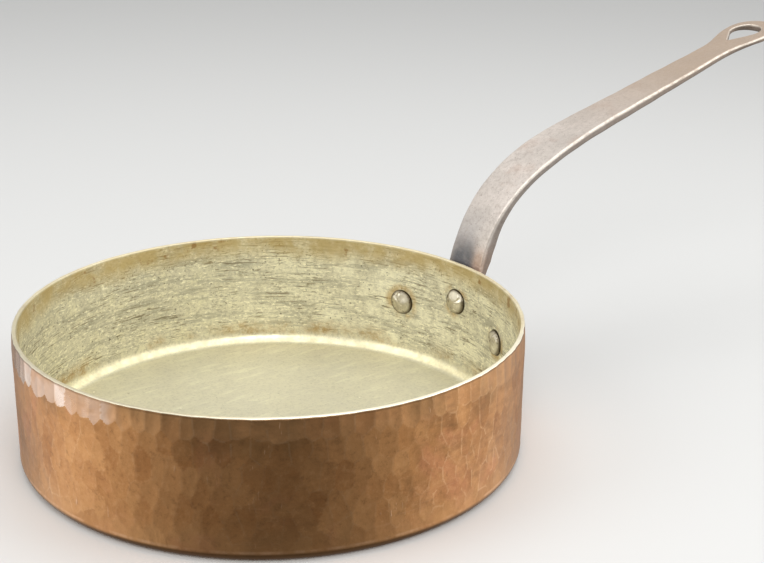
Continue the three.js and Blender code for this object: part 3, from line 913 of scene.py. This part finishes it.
def iron_material(piece):
    n = Surface("cast_iron", (0.56, 0.505, 0.46))
    wear_and_highlight, skin_and_shade = n.value("wear_and_highlight"), n.value("skin_and_shade")
    x, y, z = n.axes()
    broad = n.noise(26, 4, 0.6, warp=0.4)
    fine = n.noise(330, 5, 0.75)
    n.coat(n.range(broad, 0.35, 0.65), (0.46, 0.415, 0.375))
    n.coat(n.range(fine, 0.42, 0.72, 0, 0.45), (0.28, 0.24, 0.21))
    # Rust.
    n.coat(n.range(n.noise(44, 4, 0.6), 0.5, 0.7, 0, 0.35), (0.36, 0.25, 0.19))
    pits = n.range(n.noise(900, 3, 0.6), 0.6, 0.72)
    n.coat(n.times(pits, 0.7), (0.1, 0.08, 0.065))
    # Heat-blued patch low on the neck on one side, and rust where it leaves the wall.
    edge = n.math("ADD", z, n.times(n.noise(70, 3), 0.014))
    foot = n.times(n.range(edge, 0.1, 0.084), n.range(y, 0.004, -0.008, 0.25, 1))
    n.coat(n.times(foot, 0.65), (0.38, 0.24, 0.16))
    tint = n.times(n.range(z, 0.112, 0.088), n.range(y, -0.01, 0.002))
    n.coat(n.times(tint, 0.55), (0.25, 0.245, 0.245))
    blued = n.times(n.range(z, 0.05, 0.06), n.range(z, 0.094, 0.078))
    blued = n.times(blued, n.range(n.noise(60, 3, 0.6), 0.25, 0.5, 0.3, 1))
    blued = n.times(blued, n.times(n.range(y, -0.01, -0.002), n.range(y, 0.016, 0.008)))
    n.coat(n.times(blued, 0.85), (0.09, 0.095, 0.105))
    # Towards the loop the iron has browned in the hand.
    n.coat(n.range(x, 0.2, 0.35, 0, 0.92), (0.37, 0.285, 0.215))
    # Painted shade on the sides and the underside, with their dark casting skin; the upper edges are
    # worn bright, with a painted highlight.
    n.coat(n.range(skin_and_shade, 0.2, 1, 0, 0.7), (0.17, 0.135, 0.11))
    # Wear with a painted highlight along the upper edges, fading down the neck.
    worn_and_highlit = n.times(n.range(wear_and_highlight, 0.3, 0.9), n.range(n.noise(150, 4, 0.7), 0.3, 0.58, 0.35, 1))
    worn_and_highlit = n.times(worn_and_highlit, n.range(z, 0.095, 0.13, 0.3, 1))
    n.coat(n.times(worn_and_highlit, 0.8), (0.78, 0.71, 0.62))
    roughness = n.math("SUBTRACT", n.range(fine, 0.3, 0.7, 0.44, 0.6), n.times(worn_and_highlit, 0.12))
    n.bump(n.noise(800, 4, 0.7), 0.45, 0.0005)
    n.bump(n.noise(200, 3, 0.5), 0.3, 0.0008)
    n.bump(pits, -0.4, 0.0003)
    n.finish(roughness, 0.7, piece)


def rivet_material(pieces):
    n = Surface("tinned_rivet", (0.66, 0.61, 0.48))
    edge = n.value("edge")
    broad = n.noise(120, 3, 0.6, warp=0.5)
    n.coat(n.range(broad, 0.35, 0.65), (0.5, 0.455, 0.345))
    n.coat(n.range(n.noise(420, 3), 0.56, 0.68, 0, 0.8), (0.13, 0.095, 0.055))
    # Painted shade darkens each head towards its edge.
    n.coat(n.range(edge, 0.76, 1.0, 0, 0.75), (0.075, 0.055, 0.03))
    bright = n.range(n.noise(210, 3, 0.6), 0.56, 0.68, 0, 0.75)
    n.coat(n.times(bright, n.range(edge, 0.85, 0.55)), (0.92, 0.88, 0.74))
    roughness = n.range(broad, 0.3, 0.7, 0.3, 0.46)
    n.bump(n.noise(520, 4, 0.6), 0.25, 0.0005)
    n.bump(n.noise(170, 2, 0.5), 0.4, 0.001)
    n.finish(roughness, 0.85, *pieces)


# ---------------------------------------------------------------- camera, floor and light
VIEW_TURN = math.radians(-34)  # the photographed side, about the pan's axis from the handle's line
CAMERA_BACK = 5.066  # in pan radii
CAMERA_UP = 2.449
CAMERA_YAW, CAMERA_PITCH, CAMERA_ROLL = (math.radians(a) for a in (-4.91, 19.41, -0.74))
CAMERA_LENS = 64.37
FLOOR_HALF = 15.0  # metres
LIGHT_AIM = (0, 0, 0.05)


def add_camera():
    data = bpy.data.cameras.new("camera")
    data.lens = CAMERA_LENS
    data.sensor_width = 36
    camera = bpy.data.objects.new("camera", data)
    turn = Matrix.Rotation(VIEW_TURN, 3, "Z") @ Matrix.Rotation(CAMERA_YAW, 3, "Z")
    turn = turn @ Matrix.Rotation(-CAMERA_PITCH, 3, "X") @ Matrix.Rotation(CAMERA_ROLL, 3, "Y")
    right, forward, up = (turn.col[i] for i in range(3))
    look = Matrix((right, up, -forward)).transposed()
    spot = Matrix.Rotation(VIEW_TURN, 3, "Z") @ Vector((0, -CAMERA_BACK, CAMERA_UP)) * PAN_RADIUS * MM
    camera.matrix_world = Matrix.Translation(spot) @ look.to_4x4()
    bpy.context.scene.collection.objects.link(camera)
    bpy.context.scene.camera = camera


def add_floor():
    mesh = bpy.data.meshes.new("studio_floor")
    corners = [(x * FLOOR_HALF, y * FLOOR_HALF, 0) for x, y in ((-1, -1), (1, -1), (1, 1), (-1, 1))]
    mesh.from_pydata(corners, [], [(0, 1, 2, 3)])
    floor = bpy.data.objects.new("studio_floor", mesh)
    bpy.context.scene.collection.objects.link(floor)
    material = bpy.data.materials.new("pale_floor")
    material.use_nodes = True
    shader = material.node_tree.nodes["Principled BSDF"]
    shader.inputs["Base Color"].default_value = (0.62, 0.62, 0.61, 1)
    shader.inputs["Roughness"].default_value = 0.9
    shader.inputs["Specular IOR Level"].default_value = 0.1
    mesh.materials.append(material)
    floor.visible_glossy = False


def softbox(name, side, back, up, size, power, tint=(1, 1, 1)):
    """An area light aimed at the pan: side, back and up are metres in the camera's own directions."""
    data = bpy.data.lights.new(name, "AREA")
    data.shape = "RECTANGLE"
    data.size, data.size_y = size
    data.energy = power
    data.color = tint
    light = bpy.data.objects.new(name, data)
    spot = Matrix.Rotation(VIEW_TURN, 3, "Z") @ Vector((side, back, up))
    light.location = spot
    light.rotation_euler = (Vector(LIGHT_AIM) - spot).to_track_quat("-Z", "Y").to_euler()
    bpy.context.scene.collection.objects.link(light)


def add_world():
    """Pale studio surroundings, which the metal reflects darker in front and behind than beside."""
    world = bpy.data.worlds.new("studio")
    world.use_nodes = True
    bpy.context.scene.world = world
    n = Nodes(world.node_tree)
    coords = n.add("ShaderNodeTexCoord").outputs["Generated"]
    turn = n.add("ShaderNodeMapping", vector_type="VECTOR")
    turn.inputs["Rotation"].default_value = (0, 0, -VIEW_TURN)
    n.put(turn.inputs["Vector"], coords)
    split = n.add("ShaderNodeSeparateXYZ")
    n.put(split.inputs[0], turn.outputs["Vector"])
    _, away, up = split.outputs
    # In these directions +Y is away from the viewer's side of the studio and X runs along the wall.
    ahead = n.range(away, -1.0, 0.12, 0.12, 0.97)
    behind = n.range(away, 0.3, 0.9, 1.0, 0.25)
    above = n.range(up, -0.2, 0.3)
    # Darker straight down, where the pan stands over its own shadow; brighter towards the horizon.
    under = n.range(up, -0.82, -0.56, 0.2, 1)
    horizon = n.range(up, -0.37, -0.18, 1, 1.6)
    low = n.times(ahead, behind, n.times(under, horizon))
    shine = n.math("MAXIMUM", low, n.times(above, 0.7))
    mix = n.add("ShaderNodeMix", data_type="FLOAT")
    n.put(mix.inputs[0], n.add("ShaderNodeLightPath").outputs["Is Glossy Ray"])
    n.put(mix.inputs[2], 0.7)
    n.put(mix.inputs[3], shine)
    background = n.tree.nodes["Background"]
    n.put(background.inputs["Strength"], mix.outputs[0])
    background.inputs["Color"].default_value = (1, 1, 1, 1)


# ---------------------------------------------------------------- assembly
add_camera()
add_floor()
add_world()
softbox("overhead", 0.1, 0.3, 1.5, (1.4, 1.4), 9)
softbox("front", 0.2, -1.3, 1.25, (1.2, 0.8), 14)
softbox("left_window", -1.5, -0.5, 0.9, (0.9, 1.2), 8)
softbox("right_fill", 1.5, -0.3, 0.7, (0.8, 1.0), 6)
bpy.context.scene.view_settings.view_transform = "Standard"

body, wall_blows = copper_body()
lining = tin_lining(wall_blows)
handle = iron_handle()
rivets = {node: rivet(node) for node in RIVETS}

copper_material(body)
tin_material(lining)
iron_material(handle)
rivet_material(rivets.values())

for piece, node, slot in (
    (body, "pan_body", "hammered_copper"),
    (lining, "tin_lining", "tinned_inside"),
    (handle, "handle", "cast_iron_handle"),
    *((piece, node, "copper_rivets") for node, piece in rivets.items()),
):
    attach(piece, "root")
    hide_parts(node)
